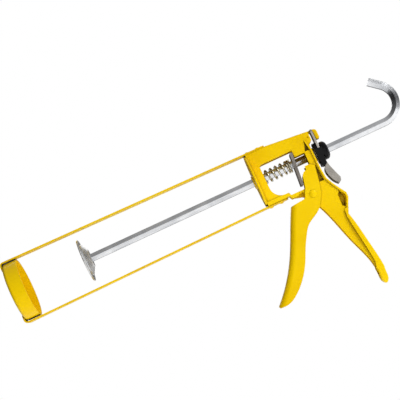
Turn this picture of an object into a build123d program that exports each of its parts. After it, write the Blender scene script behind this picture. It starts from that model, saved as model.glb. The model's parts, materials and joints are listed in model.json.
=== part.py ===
"""Skeleton-frame caulking gun: cartridge cradle, hex push rod, squeeze trigger and thumb release."""
from build123d import *
import math
import os

os.makedirs("parts", exist_ok=True)

# Frame: +X runs rearwards along the rod, +Z up, the origin is on the rod axis at the cup's front face.
# All sizes are in millimetres.

# Front cup and cradle straps
cup_r = 27.5
cup_depth = 13.9
cup_wall = 1.2
cup_edge = 3.0
nozzle_hole_r = 13.0
strap_width = 14.0
strap_thick = 1.5
strap_front_z = 28.2
strap_lip_z = 21.0
strap_end_x = 259.0
strap_rivet_x = (242.5, 252.5)
rivet_r = 1.6
rivet_head_r = 2.5
rivet_head_h = 1.3

# Rear bracket and fixed handle, pressed from one sheet
disc_x = 238.0
disc_thick = 2.0
disc_r = 24.5
rod_hole_r = 4.6
body_half_z = 25.1
body_half_y = 8.0
sheet = 1.5
rear_x = 296.4
flange_half_y = 9.4
grip_round = 1.5

# Rod and plunger
rod_flats = 7.0
rod_front_x = 76.2
plunger_x = 70.0
plunger_r = 20.0
plunger_thick = 1.3
backing_r = 15.0
backing_top_r = 8.8
tenon_r = 2.8
hook_start_x = 366.6
hook_r = 17.8
hook_angle = 140.0
hook_tail = 12.5

# Trigger
pivot_x = 280.5
pivot_z = -31.9
pivot_r = 2.6
trigger_in_y = 8.35
trigger_out_y = 9.85
trigger_sheet = 1.5
trigger_edge = 5.0

# Drive plate and its spring
plate_thick = 2.6
plate_half_y = 10.2
plate_top = (277.9, 9.6)
plate_low = (275.3, -20.8)
spring_wire_r = 0.9
spring_r = 5.5
spring_front_x = 240.05
spring_closed = 1.95
spring_rear_x = 274.6

# Release lever, bush and spring
lever_x = 301.8
lever_thick = 1.8
lever_half_y = 8.8
bush_r = 9.9
bush_cap_r = 8.55
bush_bore_r = 5.0
neck_r = 6.4


def xzFace(points):
    "Closed face in the XZ plane from a list of (x, z) corners."
    wire = Polyline([(x, 0, z) for x, z in points], close=True)
    return make_face(wire)


def slab(face, yLow, yHigh):
    "Extrude an XZ face from yLow to yHigh."
    return Pos(0, yLow, 0) * extrude(face, amount=yHigh - yLow, dir=(0, 1, 0))


def rodX(radius, xLow, xHigh, y=0.0, z=0.0):
    "Round bar along X."
    bar = Cylinder(radius, xHigh - xLow, rotation=(0, 90, 0))
    return Pos((xLow + xHigh) / 2, y, z) * bar


def rodY(radius, x, z, halfLength):
    "Round bar along Y, centred on y = 0."
    return Pos(x, 0, z) * Cylinder(radius, 2 * halfLength, rotation=(90, 0, 0))


def block(xs, ys, zs):
    "Box between pairs of limits."
    box = Box(xs[1] - xs[0], ys[1] - ys[0], zs[1] - zs[0])
    return Pos((xs[0] + xs[1]) / 2, (ys[0] + ys[1]) / 2, (zs[0] + zs[1]) / 2) * box


def turned(points):
    "Revolve a closed (x, r) outline about the rod axis."
    return revolve(xzFace(points), axis=Axis.X, revolution_arc=360)


def asOne(shape):
    "The single solid of a shape."
    solids = shape.solids()
    assert len(solids) == 1, f"expected one solid, got {len(solids)}"
    return solids[0]


def frontCup():
    outer = turned([(0, 0), (0, cup_r), (cup_depth, cup_r), (cup_depth, 0)])
    outer = fillet(outer.edges().filter_by(GeomType.CIRCLE).sort_by(Axis.X)[0], cup_edge)
    inner = turned([(cup_wall, 0), (cup_wall, cup_r - cup_wall), (20, cup_r - cup_wall), (20, 0)])
    inner = fillet(inner.edges().filter_by(GeomType.CIRCLE).sort_by(Axis.X)[0], cup_edge - cup_wall)
    cup = outer - inner - rodX(nozzle_hole_r, -1, 5)
    return asOne(cup)


def strap(side):
    "Flat steel strap, side is +1 for the top and -1 for the bottom."
    turnR = 2.0
    inside = [(0, strap_lip_z), (0, strap_front_z), (disc_x, body_half_z), (strap_end_x, body_half_z)]
    band = [
        *inside,
        (strap_end_x, body_half_z + strap_thick),
        (disc_x, body_half_z + strap_thick),
        (-strap_thick, strap_front_z + strap_thick),
        (-strap_thick, strap_lip_z),
    ]
    bar = slab(xzFace(band), -strap_width / 2, strap_width / 2)
    front = bar.edges().filter_by(Axis.Y)
    innerCorner = front.sort_by(lambda e: (Vector(0, 0, strap_front_z) - e.center()).length)[0]
    bar = fillet(innerCorner, turnR)
    corner = Vector(-strap_thick, 0, strap_front_z + strap_thick)
    outerCorner = bar.edges().filter_by(Axis.Y).sort_by(lambda e: (corner - e.center()).length)[0]
    bar = fillet(outerCorner, turnR + strap_thick)
    tip = bar.edges().filter_by(Axis.Z).group_by(Axis.X)[0]
    lipEnd = bar.edges().filter_by(Axis.X).sort_by(Axis.Z)[:2]
    bar = fillet(lipEnd, 4.0)
    rearEnd = bar.edges().filter_by(Axis.Z).group_by(Axis.X)[-1]
    bar = fillet(rearEnd, 4.0)
    for x in strap_rivet_x:
        bar -= Pos(x, 0, body_half_z) * Cylinder(rivet_r, 8)
    if side < 0:
        bar = mirror(bar, about=Plane.XY)
    return asOne(bar)


def strapRivets(side):
    "Two domed rivets through a strap and the bracket wall under it."
    shankLow = body_half_z - sheet
    shankHigh = body_half_z + strap_thick
    rivets = []
    for x in strap_rivet_x:
        r, h = rivet_head_r, rivet_head_h
        dome = (r * r + h * h) / (2 * h)
        head = Pos(x, 0, shankHigh + h - dome) * Sphere(dome)
        head &= Pos(x, 0, shankHigh + 5) * Box(20, 20, 10)
        shank = Pos(x, 0, (shankLow + shankHigh) / 2) * Cylinder(rivet_r, shankHigh - shankLow)
        upset = Pos(x, 0, shankLow - 0.4) * Cylinder(2.2, 0.8)
        rivets.append(asOne(head + shank + upset))
    group = Compound(children=rivets)
    if side < 0:
        group = mirror(group, about=Plane.XY)
    return group


def frontWall():
    "Round end plate that the cartridge rests against, with a flared collar round the rod."
    plate = turned([
        (disc_x, rod_hole_r), (disc_x - 1.4, rod_hole_r), (disc_x - 1.4, rod_hole_r + 1.3),
        (disc_x, rod_hole_r + 2.6), (disc_x, disc_r), (disc_x + disc_thick, disc_r),
        (disc_x + disc_thick, rod_hole_r),
    ])
    rim = plate.edges().filter_by(GeomType.CIRCLE).filter_by(lambda e: e.radius > disc_r - 0.1)
    return asOne(fillet(rim, 0.7))


def runs(*pieces):
    "Closed face in the XZ plane from joined runs: a list is straight lines, a tuple is a smooth curve."
    edges = []
    for piece in pieces:
        points = [(x, 0, z) for x, z in piece]
        line = Polyline(points) if isinstance(piece, list) else Spline(points)
        edges.extend(line.edges())
    return Face(Wire(edges))


def panelFace():
    "Side panel of the bracket and handle, without its openings."
    x0 = disc_x + disc_thick
    return runs(
        [(x0, -body_half_z), (x0, body_half_z), (strap_end_x + 1, body_half_z), (299.5, 21.2), (299.8, 12.5),
         (rear_x - 0.2, 10.0), (rear_x - 0.2, -15.2), (297.0, -24.1), (300.5, -31.2), (304.2, -37.5),
         (307.2, -43.2), (307.2, -47.4), (304.0, -54.3), (301.2, -60.9)],
        ((301.2, -60.9), (303.8, -73.1), (306.6, -90.8), (309.2, -108.5)),
        [(309.2, -108.5), (309.6, -114.0), (303.6, -114.0)],
        ((303.6, -114.0), (302.4, -107.3), (294.7, -84.7), (285.7, -55.4), (282.0, -45.8)),
        [(282.0, -45.8), (276.5, -39.0), (273.6, -33.5), (273.4, -26.4), (264.5, -27.3), (262.4, -27.9),
         (260.8, -body_half_z), (x0, -body_half_z)],
    )


def windowFace():
    "Side window through which the drive plate and its spring are seen."
    face = xzFace([
        (247.5, 11.3), (279.6, 11.3), (279.6, 4.9), (289.2, 4.9), (289.2, -24.8), (262.6, -24.8),
        (261.6, -21.9), (247.5, -21.9),
    ])
    corners = face.vertices()
    upper = corners.sort_by(lambda v: (v.center() - Vector(247.5, 0, 11.3)).length)[0]
    face = fillet(upper, 2.3)
    lower = face.vertices().sort_by(lambda v: (v.center() - Vector(247.5, 0, -21.9)).length)[0]
    face = fillet(lower, 11.0)
    rear = face.vertices().sort_by(lambda v: (v.center() - Vector(289.2, 0, -24.8)).length)[0]
    return fillet(rear, 3.0)


def backFace():
    "Edge-on strip that closes the bracket's rear and the web of the hand."
    outer = [
        (294.4, 15.0), (rear_x, 4.0), (rear_x, -15.2), (297.2, -24.1), (300.7, -31.2), (304.4, -37.5),
        (307.9, -43.0), (307.9, -47.4), (304.6, -54.3), (301.7, -60.9),
        (301.9, -62.8),
    ]
    inner = [
        (300.3, -62.8), (300.2, -60.4), (303.1, -53.8), (306.3, -47.0), (306.3, -43.6), (303.1, -38.5), (299.4, -31.9),
        (295.7, -24.4), (rear_x - sheet, -15.3), (rear_x - sheet, 3.9), (293.0, 14.6),
    ]
    return xzFace([*outer, *inner])


def gripFace():
    "Side view of the grip's back strip, from under the hump down to the curled toe."
    return runs(
        [(304.4, -54.9), (301.7, -60.9)],
        ((301.7, -60.9), (304.3, -73.1), (307.1, -90.8), (309.8, -108.5), (310.7, -117.0)),
        ((310.7, -117.0), (310.2, -124.8), (308.9, -129.4), (306.9, -131.0), (304.9, -129.6), (303.4, -123.5),
         (303.3, -116.5)),
        [(303.3, -116.5), (304.9, -109.5)],
        ((304.9, -109.5), (303.4, -95.2), (301.0, -77.5), (299.4, -63.0)),
        [(299.4, -63.0), (299.9, -56.2), (304.4, -54.9)],
    )


def stripWidth(inset):
    "Width of the back strip as seen from behind."
    w = -inset
    sides = [(9.4 + w, -50), (10.1 + w, -58), (11.0 + w, -68), (11.0 + w, -96), (9.9 + w, -112), (8.0 + w, -123)]
    tip = [(4.6 + w, -130.4 + inset)]
    right = [*sides, *tip]
    left = [(-y, z) for y, z in reversed(right)]
    curve = Spline([(0, y, z) for y, z in [*right, (0, -132.4 + inset), *left]])
    top = Polyline([(0, -9.4 - w, -50), (0, -9.4 - w, 20), (0, 9.4 + w, 20), (0, 9.4 + w, -50)])
    face = Face(Wire([*curve.edges(), *top.edges()]))
    return Pos(280, 0, 0) * extrude(face, amount=50, dir=(1, 0, 0))


def bodyShell():
    "Bracket and fixed handle, folded from one sheet with a wide rounded back strip."
    panel = panelFace()
    inY = body_half_y - sheet
    shell = slab(panel, -body_half_y, -inY) + slab(panel, inY, body_half_y)
    x0 = disc_x + disc_thick
    top = xzFace([
        (x0, body_half_z), (strap_end_x + 1, body_half_z), (299.5, 21.2),
        (299.5, 21.2 - sheet), (strap_end_x + 1, body_half_z - sheet), (x0, body_half_z - sheet),
    ])
    shell += slab(top, -body_half_y, body_half_y)
    # the fold lines along the top are rounded
    folds = [
        e for e in shell.edges()
        if abs(abs(e.center().Y) - body_half_y) < 0.01 and e.center().Z > 21 and e.length > 15
    ]
    shell = fillet(folds, 1.3)
    # bottom rail, with a ledge along each side that stands out over the strap
    shell += block((x0, 260.8), (-inY, inY), (-body_half_z, -body_half_z + sheet))
    for side in (-1, 1):
        low = min(side * inY, side * (body_half_y + 0.9))
        ledge = xzFace([(x0, -21.6), (260.4, -21.6), (262.6, -24.6), (270.5, -24.8), (268.5, -28.1),
                        (262.4, -27.9), (260.8, -body_half_z), (x0, -body_half_z)])
        shell += slab(ledge, low, low + sheet + 0.9)
    # inner tongue in front of the pivot, set back between the panels
    tongue = xzFace([
        (258.0, -23.7), (261.5, -23.7), (262.8, -25.2), (276.0, -25.2), (276.0, -34.0), (271.5, -30.4),
        (263.5, -28.2), (262.0, -body_half_z), (258.0, -body_half_z),
    ])
    shell += slab(tongue, -2.5, 2.5)
    # solid corners behind the rear post, with a pressed dimple above and below the rod
    for dent in ([(293.2, 14.0), (289.9, 5.6), (294.6, 5.2)], [(293.4, -8.0), (290.2, -24.6), (294.9, -24.9)]):
        zs = [z for x, z in dent]
        shell += block((289.2, 295.2), (-inY, inY), (min(zs) - 1.2, max(zs) + 0.6))
    # back strip, wider than the bracket, and the hollow web between it and the side panels
    shell += slab(backFace(), -flange_half_y, flange_half_y)
    # the grip's back strip is a shallow channel with round shoulders, open towards the front
    grip = slab(gripFace(), -14, 14) & stripWidth(0)
    shoulders = [
        e for e in grip.edges()
        if (e.length > 50 and e.position_at(0.5).X > 303.5)
        or (e.position_at(0.5).Z < -117 and e.length > 10 and abs((e @ 0).Y - (e @ 1).Y) < 8)
    ]
    grip = fillet(shoulders, grip_round)
    hollow = runs(
        ((301.7, -68.0), (302.9, -73.1), (305.7, -90.8), (308.4, -108.5), (309.2, -117.0), (308.6, -124.8)),
        [(308.6, -124.8), (307.0, -128.8), (305.2, -126.5), (304.9, -117.0), (306.4, -109.7)],
        ((306.4, -109.7), (304.9, -95.2), (302.5, -78.5), (301.3, -70.5)),
        [(301.3, -70.5), (301.7, -68.0)],
    )
    grip -= slab(hollow, -14, 14) & stripWidth(sheet)
    grip -= Pos(-2.2, 0, 0) * slab(hollow, -inY, inY) & block((290, 315), (-inY, inY), (-121, -60))
    shell = shell + grip
    # the hump of the hand web is pinched in at both sides
    web = block((298.6, 307.4), (-7.9, 7.9), (-55.6, -38.4)) & slab(panel, -7.9, 7.9)
    pinch = xzFace([
        (306.2, -43.0), (302.6, -38.4), (299.9, -42.0), (299.6, -52.8), (302.4, -54.2), (306.2, -47.4),
    ])
    shell += web
    for side in (-1, 1):
        cut = extrude(pinch, amount=6, dir=(0, -side, 0), taper=14)
        shell -= Pos(0, side * (body_half_y + 0.01), 0) * cut
    for dent in ([(293.2, 14.0), (289.9, 5.6), (294.6, 5.2)], [(293.4, -8.0), (290.2, -24.6), (294.9, -24.9)]):
        for side in (-1, 1):
            shell -= slab(xzFace(dent), min(side * 3.6, side * 8.5), max(side * 3.6, side * 8.5))
    # window, rod hole, pivot, rivet holes and the rivet-like dimple by the ear
    shell -= slab(windowFace(), -20, 20)
    shell -= rodX(rod_hole_r, 285, 300)
    shell -= rodY(pivot_r, pivot_x, pivot_z, 20)
    for x in strap_rivet_x:
        for side in (-1, 1):
            shell -= Pos(x, 0, side * body_half_z) * Cylinder(rivet_r, 6)
    for side in (-1, 1):
        shell -= Pos(297.4, side * (body_half_y + 0.3), 16.2) * Sphere(1.0)
    shell += releaseEar()
    return asOne(shell)


def releaseEar():
    "Narrow tongue off the top wall that the release lever hooks round."
    neck = block((298.5, 305), (-4, 4), (19.0, 21.2))
    lug = slab(xzFace([(304.0, 11.4), (304.0, 21.2), (307.8, 21.2), (307.8, 11.4)]), -4, 4)
    outer = lug.edges().filter_by(Axis.Y).sort_by(lambda e: (Vector(307.8, 0, 21.2) - e.center()).length)[0]
    lug = fillet(outer, 2.8)
    low = lug.edges().filter_by(Axis.Y).sort_by(Axis.Z)[:2]
    lug = fillet(low, 1.6)
    rim = lug.edges().filter_by(lambda e: abs(abs(e.center().Y) - 4) < 0.01 and e.center().X > 304.5)
    return neck + fillet(rim, 0.7)


def triggerFace():
    "Side view of the trigger: front edge up, over the ears, then down the open rear side."
    return runs(
        ((210.5, -110.4), (223.8, -95.8), (237.0, -76.2), (247.3, -55.8), (258.0, -34.3)),
        [(258.0, -34.3), (272.1, -32.9), (276.4, -24.4), (278.9, -13.7), (280.9, -11.0), (284.1, -10.0),
         (284.1, -6.6), (288.4, -6.4), (292.5, -9.1), (289.9, -24.3), (287.6, -33.9), (281.1, -44.9),
         (278.4, -47.6)],
        ((278.4, -47.6), (272.2, -51.1), (265.1, -55.8), (259.9, -62.8), (254.6, -71.9), (248.5, -84.2),
         (237.1, -100.1), (229.1, -107.3), (221.3, -111.7), (216.0, -112.6)),
        [(216.0, -112.6), (211.6, -112.4), (210.5, -110.4)],
    )


def trigger():
    "Squeeze trigger: a channel folded round its front edge, whose two ears straddle the bracket."
    outline = triggerFace()
    solid = slab(outline, -trigger_out_y, trigger_out_y)
    frontLength = 89.0
    rounded = [
        e for e in solid.edges()
        if abs(abs(e.center().Y) - trigger_out_y) < 0.01 and abs(e.length - frontLength) < 6
        and e.position_at(0.5).X < 245
    ]
    front = [e for e in rounded if e.position_at(0.5).Z > -90]
    solid = fillet(front, trigger_edge)
    front = [(210.5, -110.4), (223.8, -95.8), (237.0, -76.2), (247.3, -55.8), (258.0, -34.3), (262.5, -25.3)]
    normals = [(0.739, -0.673), (0.790, -0.612), (0.862, -0.506), (0.894, -0.448), (0.895, -0.446), (0.895, -0.446)]
    wall = tuple((x + trigger_sheet * nx, z + trigger_sheet * nz) for (x, z), (nx, nz) in zip(front, normals))
    space = slab(
        runs(wall, [wall[-1], (305, wall[-1][1]), (305, wall[0][1]), wall[0]]), -trigger_in_y, trigger_in_y,
    )
    inner = [
        e for e in space.edges()
        if abs(abs(e.center().Y) - trigger_in_y) < 0.01 and e.length > 85 and e.position_at(0.5).X < 245
    ]
    solid -= fillet(inner, trigger_edge - trigger_sheet)
    solid -= block((262, 300), (-trigger_in_y, trigger_in_y), (-50, 0))
    solid -= rodY(pivot_r + 0.05, pivot_x, pivot_z, 20)
    return asOne(solid)


def triggerPivot():
    "Pivot rivet through the bracket, with a domed head outside each trigger ear."
    face = trigger_out_y + 0.35
    pin = rodY(pivot_r, pivot_x, pivot_z, face + 0.2)
    for side in (-1, 1):
        headR, headH = 3.4, 0.9
        dome = (headR * headR + headH * headH) / (2 * headH)
        ball = Pos(pivot_x, side * (face + headH - dome), pivot_z) * Sphere(dome)
        keep = Pos(pivot_x, side * (face + 5), pivot_z) * Box(20, 10, 20)
        pin += ball & keep
    return asOne(pin)


def drivePlate():
    "Thick tilted plate that grips the rod when the trigger's ears push it forwards."
    (xTop, zTop), (xLow, zLow) = plate_top, plate_low
    run = math.hypot(xTop - xLow, zTop - zLow)
    dx = plate_thick / 2 * (zTop - zLow) / run
    dz = plate_thick / 2 * (xTop - xLow) / run
    face = xzFace([
        (xTop - dx, zTop + dz), (xTop + dx, zTop - dz), (xLow + dx, zLow - dz), (xLow - dx, zLow + dz),
    ])
    plate = slab(face, -plate_half_y, plate_half_y)
    across = plate.edges().filter_by(Axis.Y)
    plate = fillet(across, 0.5)
    return asOne(plate - rodX(rod_hole_r, 265, 290))


def coil(xLow, turnsAndPitches, radius, wireR):
    "Round-wire compression spring along X, made of stretches of (whole turns, pitch)."
    spring = None
    x = xLow + wireR
    for turns, pitch in turnsAndPitches:
        path = Helix(pitch=pitch, height=pitch * turns, radius=radius)
        section = Plane(origin=path @ 0, z_dir=path % 0) * Circle(wireR)
        stretch = Pos(x, 0, 0) * Rot(0, 90, 0) * sweep(section, path=path, is_frenet=True)
        spring = stretch if spring is None else spring + stretch
        x += pitch * turns
    return asOne(spring)


def driveSpring():
    "Main spring, open in front and closed up against the drive plate."
    closed = 2
    length = spring_rear_x - spring_front_x - 2 * spring_wire_r
    openTurns = 6
    pitch = (length - closed * spring_closed) / openTurns
    return coil(spring_front_x, [(openTurns, pitch), (closed, spring_closed)], spring_r, spring_wire_r)


def pushRod():
    "Hexagonal rod, tenoned into the plunger at the front and bent into a pull hook at the rear."
    vertexR = rod_flats / math.sqrt(3)
    arcEnd = math.radians(hook_angle - 90)
    cx, cz = hook_start_x, hook_r
    bendEnd = (cx + hook_r * math.cos(arcEnd), 0, cz + hook_r * math.sin(arcEnd))
    middle = math.radians(hook_angle / 2 - 90)
    bendMid = (cx + hook_r * math.cos(middle), 0, cz + hook_r * math.sin(middle))
    tail = (
        bendEnd[0] - hook_tail * math.sin(arcEnd), 0, bendEnd[2] + hook_tail * math.cos(arcEnd),
    )
    bend = ThreePointArc((cx, 0, 0), bendMid, bendEnd)
    path = Line((rod_front_x, 0, 0), (cx, 0, 0)) + bend + Line(bendEnd, tail)
    section = Plane(origin=(rod_front_x, 0, 0), x_dir=(0, 1, 0), z_dir=(1, 0, 0)) * RegularPolygon(vertexR, 6)
    rod = sweep(section, path=path)
    tenon = rodX(tenon_r, plunger_x, rod_front_x + 1)
    return asOne(rod + tenon)


def plungerPlate():
    "Flat round plate that presses on the cartridge's piston."
    x1 = plunger_x + plunger_thick
    plate = rodX(plunger_r, plunger_x, x1)
    plate = fillet(plate.edges().filter_by(GeomType.CIRCLE), 0.4)
    return asOne(plate - rodX(tenon_r, plunger_x - 1, x1 + 1))


def plungerBacking():
    "Pressed cone that stiffens the plunger plate behind."
    x0 = plunger_x + plunger_thick
    x1 = rod_front_x
    wall = 1.4
    cone = turned([
        (x0, backing_r), (x0 + 1.0, backing_r), (x1 - 0.8, backing_top_r + 0.3), (x1, backing_top_r - 0.6),
        (x1, tenon_r), (x1 - wall, tenon_r), (x1 - wall, backing_top_r - 1.8), (x0, backing_r - 2.4),
    ])
    return asOne(cone)


def releaseLever():
    "Locking plate with a fork round the ear and a flanged thumb tab below."
    x0, x1 = lever_x, lever_x + lever_thick
    profile = runs(
        [(x1, -6.0), (x1, 21.8), (x0, 21.8), (x0, -10.0)],
        ((x0, -10.0), (x0 + 1.4, -16.9), (x0 + 3.4, -22.6), (x0 + 5.8, -28.9)),
        [(x0 + 5.8, -28.9), (x0 + 6.6, -31.4), (x1 + 5.7, -28.4)],
        ((x1 + 5.7, -28.4), (x1 + 3.4, -22.2), (x1 + 1.5, -16.2), (x1, -6.0)),
    )
    plate = slab(profile, -lever_half_y, lever_half_y)
    corners = [e for e in plate.edges().filter_by(Axis.X) if e.center().Z > 21]
    plate = fillet(corners, 3.0)
    tabLow, tabHigh = lever_half_y - 1.5, lever_half_y
    flange = runs(
        [(x1, -12.0), (x0, -13.2)],
        ((x0, -13.2), (x0 - 2.0, -16.6), (x0 - 1.5, -22.4), (x0 + 2.2, -30.2), (x0 + 4.7, -32.6)),
        [(x0 + 4.7, -32.6), (x0 + 6.6, -31.4), (x1 + 5.7, -28.4)],
        ((x1 + 5.7, -28.4), (x1 + 3.4, -22.2), (x1 + 1.5, -16.2), (x1, -12.0)),
    )
    plate += slab(flange, tabLow, tabHigh) + slab(flange, -tabHigh, -tabLow)
    plate -= block((x0 - 1, x1 + 1), (-4.5, 4.5), (18.4, 25))
    plate -= rodX(neck_r, x0 - 5, x1 + 5)
    return asOne(plate)


def releaseBush():
    "Moulded bush snapped through the locking plate, with a thumb-sized mushroom cap behind."
    x0, x1 = lever_x, lever_x + lever_thick
    bore = bush_bore_r
    cap = bush_cap_r
    body = turned([
        (x0 - 3.5, 7.4), (x0 - 3.5, bush_r - 0.6), (x0 - 2.9, bush_r), (x0, bush_r), (x0, neck_r),
        (x1 + 1.3, neck_r), (x1 + 1.3, cap - 0.3), (x1 + 1.6, cap), (x1 + 4.2, cap), (x1 + 5.6, cap - 1.0),
        (x1 + 6.5, cap - 2.6), (x1 + 6.8, bore), (x0 - 0.8, bore), (x0 - 0.8, 7.4),
    ])
    for side in (-1, 1):
        low, high = sorted((side * (lever_half_y + 0.15), side * (lever_half_y + 1.5)))
        body += slab(xzFace([
            (x0 - 3.4, 3.4), (x1 + 1.9, 3.4), (x1 + 1.9, -3.8), (x1 + 0.2, -4.6), (x1 + 0.2, -11.4),
            (x0 + 1.0, -12.8), (x0 - 1.4, -12.8), (x0 - 3.4, -8.0),
        ]), low, high)
    body += block((x0 - 2.9, x0 - 0.3), (-lever_half_y - 0.6, lever_half_y + 0.6), (-12.4, -7.6))
    return asOne(body)


parts = {
    "front_cup": frontCup(),
    "top_strap": strap(1),
    "bottom_strap": strap(-1),
    "top_strap_rivets": strapRivets(1),
    "bottom_strap_rivets": strapRivets(-1),
    "front_wall": frontWall(),
    "body_shell": bodyShell(),
    "trigger": trigger(),
    "trigger_pivot": triggerPivot(),
    "drive_plate": drivePlate(),
    "drive_spring": driveSpring(),
    "push_rod": pushRod(),
    "plunger_plate": plungerPlate(),
    "plunger_backing": plungerBacking(),
    "release_lever": releaseLever(),
    "release_bush": releaseBush(),
    "release_spring": coil(rear_x, [(3, 1.1)], 6.2, 0.4),
}

for node, shape in parts.items():
    export_step(shape, f"parts/{node}.step")
    print(node, round(shape.volume, 1))
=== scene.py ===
import json
import math

import bmesh
import bpy
from mathutils import Matrix, Vector


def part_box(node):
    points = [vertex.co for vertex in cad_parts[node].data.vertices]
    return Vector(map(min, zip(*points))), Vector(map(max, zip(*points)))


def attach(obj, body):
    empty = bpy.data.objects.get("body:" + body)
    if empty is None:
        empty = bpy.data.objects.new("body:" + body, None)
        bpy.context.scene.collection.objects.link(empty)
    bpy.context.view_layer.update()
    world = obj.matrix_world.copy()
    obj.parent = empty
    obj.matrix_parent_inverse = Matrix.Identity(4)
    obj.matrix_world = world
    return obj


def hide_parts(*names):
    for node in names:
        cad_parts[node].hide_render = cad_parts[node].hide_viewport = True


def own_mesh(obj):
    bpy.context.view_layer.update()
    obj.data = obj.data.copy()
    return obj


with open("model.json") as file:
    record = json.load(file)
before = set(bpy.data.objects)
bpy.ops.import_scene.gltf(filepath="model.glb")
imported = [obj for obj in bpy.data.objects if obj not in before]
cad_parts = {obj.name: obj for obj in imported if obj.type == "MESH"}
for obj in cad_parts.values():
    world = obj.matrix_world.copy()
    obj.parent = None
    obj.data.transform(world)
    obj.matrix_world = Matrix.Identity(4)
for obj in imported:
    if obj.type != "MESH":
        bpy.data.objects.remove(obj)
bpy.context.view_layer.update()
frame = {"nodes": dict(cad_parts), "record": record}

scene = bpy.context.scene
noiseSpan = (0.35, 0.65)  # noise seldom leaves this middle part, so roughness is spread over it


def linear(hexColour):
    # sRGB hex to linear RGBA
    channels = [int(hexColour[i:i + 2], 16) / 255 for i in (1, 3, 5)]
    return [c / 12.92 if c <= 0.04045 else ((c + 0.055) / 1.055) ** 2.4 for c in channels] + [1.0]


def addNode(tree, kind, settings=None, links=None, stops=()):
    # settings go to properties or unlinked sockets, links are {input: output socket},
    # and stops are the (position, colour) pairs of a colour ramp
    node = tree.nodes.new(kind)
    for name, value in (settings or {}).items():
        if isinstance(name, str) and hasattr(node, name):
            setattr(node, name, value)
        else:
            node.inputs[name].default_value = value
    for name, source in (links or {}).items():
        tree.links.new(source, node.inputs[name])
    if stops:
        elements = node.color_ramp.elements
        while len(elements) < len(stops):
            elements.new(0.5)
        for element, (position, colour) in zip(elements, stops):
            element.position = position
            element.color = colour
    return node


def newMaterial(name):
    material = bpy.data.materials.new(name)
    material.use_nodes = True
    tree = material.node_tree
    tree.nodes.clear()
    shader = addNode(tree, "ShaderNodeBsdfPrincipled")
    addNode(tree, "ShaderNodeOutputMaterial", links={"Surface": shader.outputs["BSDF"]})
    return material, tree, shader


# glossy powder-coated steel, sprayed and baked
paint = {
    "colour": "#EBC304",
    "thin": "#EFCA0A",
    "thick": "#E3B802",
    "thicknessStops": (0.30, 0.50, 0.72),   # where the thick, even and thin colours sit
    "cloudPerMetre": 22,                    # the thickness drifts over about 45 mm
    "cloudDetail": 3,
    "cloudRoughness": 0.5,
    "roughness": (0.30, 0.42),
    "dustPerMetre": 3200,                   # grains 0.3 mm across, real powder is too fine to show
    "dustDetail": 2,
    "peelPerMetre": 620,                    # orange peel about 1.6 mm across
    "peelDetail": 1.5,
    "peelDepth": 0.00005,
    "peelStrength": 0.35,
    "ior": 1.5,
    "specular": 0.34,
    "glossTint": "#F2C618",
    "coat": 0.05,
    "coatRoughness": 0.16,
    "corner": "#5A3A04",                    # dust and thick paint in tight corners, and painted shade there too
    "cornerReach": 0.0045,
    "cornerSamples": 8,
    "cornerOpenness": (0.25, 0.85),         # how open a spot is where the dark is full, and gone
    "cornerAmount": 0.85,
}


def powderCoat():
    # a deep even yellow whose slow waviness breaks up the highlights
    material, tree, shader = newMaterial("powder_coated_steel")
    point = addNode(tree, "ShaderNodeTexCoord").outputs["Object"]
    cloud = addNode(tree, "ShaderNodeTexNoise", {
        "Scale": paint["cloudPerMetre"],
        "Detail": paint["cloudDetail"],
        "Roughness": paint["cloudRoughness"],
    }, {"Vector": point})
    colours = [linear(paint[key]) for key in ("thick", "colour", "thin")]
    tint = addNode(tree, "ShaderNodeValToRGB", links={"Fac": cloud.outputs["Fac"]},
                   stops=list(zip(paint["thicknessStops"], colours)))
    # tight corners get the darker corner colour: partly dust and thick paint, partly painted shade
    corner = addNode(tree, "ShaderNodeAmbientOcclusion",
                     {"samples": paint["cornerSamples"], "Distance": paint["cornerReach"]})
    amount = addNode(tree, "ShaderNodeMapRange", {
        "From Min": paint["cornerOpenness"][0],
        "From Max": paint["cornerOpenness"][1],
        "To Min": paint["cornerAmount"],
        "To Max": 0.0,
    }, {"Value": corner.outputs["AO"]})
    dustAndPaintedShade = addNode(tree, "ShaderNodeMix", {"data_type": "RGBA", 7: linear(paint["corner"])},
                    {0: amount.outputs["Result"], 6: tint.outputs["Color"]})
    tree.links.new(dustAndPaintedShade.outputs[2], shader.inputs["Base Color"])
    dust = addNode(tree, "ShaderNodeTexNoise",
                   {"Scale": paint["dustPerMetre"], "Detail": paint["dustDetail"]},
                   {"Vector": point})
    gloss = addNode(tree, "ShaderNodeMapRange", {
        "From Min": noiseSpan[0],
        "From Max": noiseSpan[1],
        "To Min": paint["roughness"][0],
        "To Max": paint["roughness"][1],
    }, {"Value": dust.outputs["Fac"]})
    tree.links.new(gloss.outputs["Result"], shader.inputs["Roughness"])
    peel = addNode(tree, "ShaderNodeTexNoise",
                   {"Scale": paint["peelPerMetre"], "Detail": paint["peelDetail"]},
                   {"Vector": point})
    bump = addNode(tree, "ShaderNodeBump",
                   {"Strength": paint["peelStrength"], "Distance": paint["peelDepth"]},
                   {"Height": peel.outputs["Fac"]})
    tree.links.new(bump.outputs["Normal"], shader.inputs["Normal"])
    shader.inputs["IOR"].default_value = paint["ior"]
    shader.inputs["Specular IOR Level"].default_value = paint["specular"]
    shader.inputs["Specular Tint"].default_value = linear(paint["glossTint"])
    shader.inputs["Coat Weight"].default_value = paint["coat"]
    shader.inputs["Coat Roughness"].default_value = paint["coatRoughness"]
    return material


# zinc-plated steel: what all its grades share
zinc = {
    "linesPerMetre": 2600,      # lines 0.4 mm apart, real drawing lines are too fine to show
    "lineStretch": 0.02,        # each line is 50 times as long as it is wide
    "lineDetail": 4,
    "lineRoughness": 0.6,
    "cloudPerMetre": 60,        # duller patches about 17 mm across
    "cloudDetail": 4,
    "toneStops": (0.36, 0.62),  # where the low and high colours sit
    "bumpStrength": 0.15,
}

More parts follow.
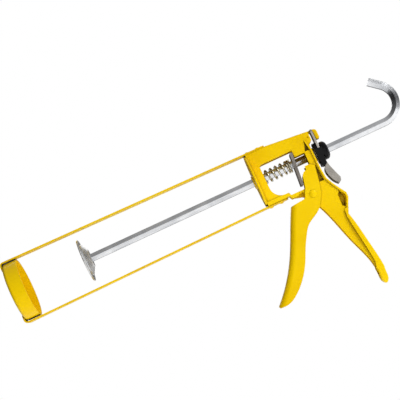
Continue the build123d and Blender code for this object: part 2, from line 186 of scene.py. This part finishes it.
# its grades, where "along" is the axis that the lines follow: 0 lengthwise, 2 upright
rodZinc = {                     # drawn bar, plated bright: silver with sharp long highlights
    "name": "bright_zinc_plated_steel",
    "along": 0,
    "low": "#A6A8AC",
    "high": "#D4D5D7",
    "roughness": (0.16, 0.26),
    "lineDepth": 0.00003,
}
leverZinc = {                   # rolled strip, stamped and plated: softer and greyer than the rod
    "name": "rolled_zinc_plated_steel",
    "along": 2,
    "low": "#7E7A74",
    "high": "#A39E96",
    "roughness": (0.28, 0.42),
    "lineDepth": 0.00003,
}
gripPlateZinc = {               # thick plate, hardened before plating: dark and warm
    "name": "hardened_zinc_plated_steel",
    "along": 2,
    "low": "#5C5650",
    "high": "#8E8881",
    "roughness": (0.30, 0.44),
    "lineDepth": 0.00003,
}
plungerZinc = {                 # pressed sheet, plated: pale, smooth and even
    "name": "pressed_zinc_plated_steel",
    "along": 2,
    "low": "#B6B7B8",
    "high": "#CCCDCE",
    "roughness": (0.36, 0.46),
    "lineDepth": 0.000004,
}
springWire = {                  # drawn wire, slightly yellow: small hard glints on each turn
    "name": "drawn_spring_wire",
    "along": 0,
    "low": "#8C8876",
    "high": "#C4C0AE",
    "roughness": (0.12, 0.22),
    "lineDepth": 0.00003,
}


def zincPlate(grade):
    # metal with fine lines along the way it was drawn or rolled
    material, tree, shader = newMaterial(grade["name"])
    point = addNode(tree, "ShaderNodeTexCoord").outputs["Object"]
    squeeze = [1.0, 1.0, 1.0]
    squeeze[grade["along"]] = zinc["lineStretch"]
    stretched = addNode(tree, "ShaderNodeMapping", {"Scale": squeeze}, {"Vector": point})
    lines = addNode(tree, "ShaderNodeTexNoise", {
        "Scale": zinc["linesPerMetre"],
        "Detail": zinc["lineDetail"],
        "Roughness": zinc["lineRoughness"],
    }, {"Vector": stretched.outputs["Vector"]})
    cloud = addNode(tree, "ShaderNodeTexNoise",
                    {"Scale": zinc["cloudPerMetre"], "Detail": zinc["cloudDetail"]},
                    {"Vector": point})
    tone = addNode(tree, "ShaderNodeMath", {"operation": "ADD"},
                   {0: lines.outputs["Fac"], 1: cloud.outputs["Fac"]})
    half = addNode(tree, "ShaderNodeMath", {"operation": "MULTIPLY", 1: 0.5},
                   {0: tone.outputs["Value"]})
    colours = [linear(grade[key]) for key in ("low", "high")]
    tint = addNode(tree, "ShaderNodeValToRGB", links={"Fac": half.outputs["Value"]},
                   stops=list(zip(zinc["toneStops"], colours)))
    tree.links.new(tint.outputs["Color"], shader.inputs["Base Color"])
    gloss = addNode(tree, "ShaderNodeMapRange", {
        "From Min": noiseSpan[0],
        "From Max": noiseSpan[1],
        "To Min": grade["roughness"][0],
        "To Max": grade["roughness"][1],
    }, {"Value": lines.outputs["Fac"]})
    tree.links.new(gloss.outputs["Result"], shader.inputs["Roughness"])
    bump = addNode(tree, "ShaderNodeBump",
                   {"Strength": zinc["bumpStrength"], "Distance": grade["lineDepth"]},
                   {"Height": lines.outputs["Fac"]})
    tree.links.new(bump.outputs["Normal"], shader.inputs["Normal"])
    shader.inputs["Metallic"].default_value = 1.0
    return material


# black nylon, injection moulded
nylon = {
    "low": "#050506",
    "high": "#0C0C0D",
    "roughness": (0.20, 0.34),
    "grainPerMetre": 900,       # grain about 1 mm across, the mould's own is too fine to show
    "grainDetail": 3,
    "grainDepth": 0.00004,
    "bumpStrength": 0.2,
    "ior": 1.53,
    "specular": 0.1,
}


def mouldedNylon():
    # near black with a wet-looking gloss and a faint grain from the mould
    material, tree, shader = newMaterial("moulded_nylon")
    point = addNode(tree, "ShaderNodeTexCoord").outputs["Object"]
    grain = addNode(tree, "ShaderNodeTexNoise",
                    {"Scale": nylon["grainPerMetre"], "Detail": nylon["grainDetail"]},
                    {"Vector": point})
    colours = [linear(nylon[key]) for key in ("low", "high")]
    tint = addNode(tree, "ShaderNodeValToRGB", links={"Fac": grain.outputs["Fac"]},
                   stops=list(zip(noiseSpan, colours)))
    tree.links.new(tint.outputs["Color"], shader.inputs["Base Color"])
    gloss = addNode(tree, "ShaderNodeMapRange", {
        "From Min": noiseSpan[0],
        "From Max": noiseSpan[1],
        "To Min": nylon["roughness"][0],
        "To Max": nylon["roughness"][1],
    }, {"Value": grain.outputs["Fac"]})
    tree.links.new(gloss.outputs["Result"], shader.inputs["Roughness"])
    bump = addNode(tree, "ShaderNodeBump",
                   {"Strength": nylon["bumpStrength"], "Distance": nylon["grainDepth"]},
                   {"Height": grain.outputs["Fac"]})
    tree.links.new(bump.outputs["Normal"], shader.inputs["Normal"])
    shader.inputs["IOR"].default_value = nylon["ior"]
    shader.inputs["Specular IOR Level"].default_value = nylon["specular"]
    return material


print("materials")
paintMaterial = powderCoat()
rodMaterial = zincPlate(rodZinc)
leverMaterial = zincPlate(leverZinc)
gripPlateMaterial = zincPlate(gripPlateZinc)
plungerMaterial = zincPlate(plungerZinc)
wireMaterial = zincPlate(springWire)
nylonMaterial = mouldedNylon()

finishes = {
    "yellow_paint": paintMaterial,
    "zinc_steel": rodMaterial,
    "plain_steel": plungerMaterial,
    "spring_steel": wireMaterial,
    "black_nylon": nylonMaterial,
}
ownFinishes = {"release_lever": leverMaterial, "drive_plate": gripPlateMaterial}
for part in frame["record"]["subparts"]:
    finish = ownFinishes.get(part["node"], finishes[part["material_slot"]])
    for materialSlot in frame["nodes"][part["node"]].material_slots:
        materialSlot.material = finish


def coilSpring(name, node, settings, material):
    # a tube swept along a helix between the ends of the CAD spring
    low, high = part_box(node)
    wire, sides = settings["wire"], settings["sides"]
    radius = (high[2] - low[2]) / 2 - wire
    closedLength = settings["closedTurns"] * settings["closedPitch"]
    openPitch = (high[0] - low[0] - 2 * wire - closedLength) / settings["openTurns"]
    turns = settings["openTurns"] + settings["closedTurns"]
    steps = turns * settings["stepsPerTurn"]
    mesh = bmesh.new()
    rings = []
    for step in range(steps + 1):
        turn = step / settings["stepsPerTurn"]
        openPart = min(turn, settings["openTurns"])
        closedPart = turn - openPart
        x = low[0] + wire + openPart * openPitch + closedPart * settings["closedPitch"]
        angle = 2 * math.pi * turn
        outwards = Vector((0, -math.sin(angle), math.cos(angle)))
        centre = Vector((x, 0, 0)) + outwards * radius
        ring = []
        for side in range(sides):
            around = 2 * math.pi * side / sides
            spoke = outwards * math.cos(around) + Vector((1, 0, 0)) * math.sin(around)
            ring.append(mesh.verts.new(centre + spoke * wire))
        rings.append(ring)
    for first, second in zip(rings, rings[1:]):
        for side in range(sides):
            after = (side + 1) % sides
            mesh.faces.new((first[side], first[after], second[after], second[side]))
    mesh.faces.new(reversed(rings[0]))
    mesh.faces.new(rings[-1])
    bmesh.ops.recalc_face_normals(mesh, faces=mesh.faces)
    data = bpy.data.meshes.new(name)
    mesh.to_mesh(data)
    mesh.free()
    for face in data.polygons:
        face.use_smooth = len(face.vertices) == 4  # the cut ends stay flat
    piece = bpy.data.objects.new(name, data)
    scene.collection.objects.link(piece)
    data.materials.append(material)
    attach(piece, "frame")
    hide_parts(node)
    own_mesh(piece)


# springs of wound wire, each swept to fill the CAD spring it replaces
driveSpring = {
    "wire": 0.0009,             # half the wire's thickness
    "sides": 14,
    "stepsPerTurn": 48,
    "openTurns": 6,
    "closedTurns": 2,
    "closedPitch": 0.00195,
    "joint": "drive_plate_slide",
    "keep": 0.76,               # its length at the joint's limit, as a share of that at rest
}
releaseSpring = {
    "wire": 0.0004,
    "sides": 10,
    "stepsPerTurn": 48,
    "openTurns": 3,
    "closedTurns": 0,
    "closedPitch": 0.0,
    "joint": "thumb_release",
    "keep": 0.72,
}
print("springs")
coilSpring("drive_spring_wire", "drive_spring", driveSpring, wireMaterial)
coilSpring("release_spring_wire", "release_spring", releaseSpring, wireMaterial)


view = {
    "lookAt": (0.1867, 0.0, 0.0063),
    "distance": 1.2833,
    "azimuth": -0.13,           # degrees
    "elevation": 5.12,          # the camera looks slightly up
    "roll": 24.84,
    "focal": 128.32,            # mm, on a sensor this wide
    "sensor": 36,
    "farEnd": 50,
}


def addCamera():
    azimuth, elevation, roll = (math.radians(view[key]) for key in ("azimuth", "elevation", "roll"))
    forward = Vector((
        math.sin(azimuth) * math.cos(elevation),
        math.cos(azimuth) * math.cos(elevation),
        math.sin(elevation),
    ))
    level = forward.cross(Vector((0, 0, 1))).normalized()
    above = level.cross(forward)
    right = level * math.cos(roll) - above * math.sin(roll)
    up = level * math.sin(roll) + above * math.cos(roll)
    data = bpy.data.cameras.new("camera")
    data.sensor_width = view["sensor"]
    data.lens = view["focal"]
    data.clip_end = view["farEnd"]
    camera = bpy.data.objects.new("camera", data)
    spot = Vector(view["lookAt"]) - forward * view["distance"]
    turn = Matrix((right, up, -forward)).transposed().to_4x4()
    camera.matrix_world = Matrix.Translation(spot) @ turn
    scene.collection.objects.link(camera)
    scene.camera = camera


# matt white paper, which spreads the light evenly and shows no highlight
paper = {
    "centre": (0.2, 0, -0.32),
    "size": 1.7,
    "colour": "#FAFAFA",
    "roughness": 0.9,
    "glowColour": "#FFFFFF",
    "glow": 0.62,               # lit from below, like a light table
}


def addFloor():
    half = paper["size"] / 2
    mesh = bpy.data.meshes.new("floor")
    corners = [(-half, -half, 0), (half, -half, 0), (half, half, 0), (-half, half, 0)]
    mesh.from_pydata(corners, [], [(0, 1, 2, 3)])
    floor = bpy.data.objects.new("floor", mesh)
    floor.location = paper["centre"]
    scene.collection.objects.link(floor)
    material, tree, shader = newMaterial("matt_white_paper")
    shader.inputs["Base Color"].default_value = linear(paper["colour"])
    shader.inputs["Roughness"].default_value = paper["roughness"]
    shader.inputs["Emission Color"].default_value = linear(paper["glowColour"])
    shader.inputs["Emission Strength"].default_value = paper["glow"]
    mesh.materials.append(material)


room = {
    "strength": 0.58,
    "upDown": [                 # (height from straight down to straight up, brightness)
        (0.0, 0.9), (0.38, 0.8), (0.5, 0.2), (0.60, 0.34),
        (0.74, 0.85), (0.88, 0.95), (0.95, 1.3), (1.0, 1.1),
    ],
    "leftRight": [              # (from the cup's side to the hook's side, brightness)
        (0.0, 0.10), (0.32, 0.30), (0.60, 1.0), (1.0, 1.15),
    ],
}


def greys(stops):
    return [(position, (value, value, value, 1)) for position, value in stops]


def addWorld():
    # white where the camera sees it, and a soft studio for the light and the reflections
    world = bpy.data.worlds.new("studio")
    scene.world = world
    world.use_nodes = True
    tree = world.node_tree
    tree.nodes.clear()
    direction = addNode(tree, "ShaderNodeTexCoord").outputs["Generated"]
    axes = addNode(tree, "ShaderNodeSeparateXYZ", links={"Vector": direction})
    rise = addNode(tree, "ShaderNodeMapRange", {"From Min": -1, "From Max": 1},
                   {"Value": axes.outputs["Z"]})
    side = addNode(tree, "ShaderNodeMapRange", {"From Min": -1, "From Max": 1},
                   {"Value": axes.outputs["X"]})
    upDown = addNode(tree, "ShaderNodeValToRGB", links={"Fac": rise.outputs["Result"]},
                     stops=greys(room["upDown"]))
    leftRight = addNode(tree, "ShaderNodeValToRGB", links={"Fac": side.outputs["Result"]},
                        stops=greys(room["leftRight"]))
    tone = addNode(tree, "ShaderNodeMix", {"data_type": "RGBA", "blend_type": "MULTIPLY", 0: 1.0},
                   {6: upDown.outputs["Color"], 7: leftRight.outputs["Color"]})
    glow = addNode(tree, "ShaderNodeBackground", {"Strength": room["strength"]},
                   {"Color": tone.outputs[2]})
    white = addNode(tree, "ShaderNodeBackground", {"Color": (1, 1, 1, 1), "Strength": 1.0})
    ray = addNode(tree, "ShaderNodeLightPath")
    mix = addNode(tree, "ShaderNodeMixShader", links={
        0: ray.outputs["Is Camera Ray"],
        1: glow.outputs[0],
        2: white.outputs[0],
    })
    addNode(tree, "ShaderNodeOutputWorld", links={"Surface": mix.outputs[0]})


lightTarget = (0.2, 0, 0)
lights = {
    "key": {"spot": (1.4, -1.1, 0.7), "size": (0.9, 0.9), "watts": 16.5},
    "fill": {"spot": (0.6, -1.7, 0.1), "size": (1.0, 1.0), "watts": 5},
    "back": {"spot": (0.2, 1.4, 0.8), "size": (1.4, 1.0), "watts": 8},
}


def addLight(name, settings):
    data = bpy.data.lights.new(name, "AREA")
    data.shape = "RECTANGLE"
    data.size, data.size_y = settings["size"]
    data.energy = settings["watts"]
    light = bpy.data.objects.new(name, data)
    light.location = settings["spot"]
    aim = Vector(lightTarget) - Vector(settings["spot"])
    light.rotation_euler = aim.to_track_quat("-Z", "Y").to_euler()
    scene.collection.objects.link(light)


print("studio")
scene.view_settings.view_transform = "Standard"
addCamera()
addFloor()
addWorld()
for name, settings in lights.items():
    addLight(name, settings)
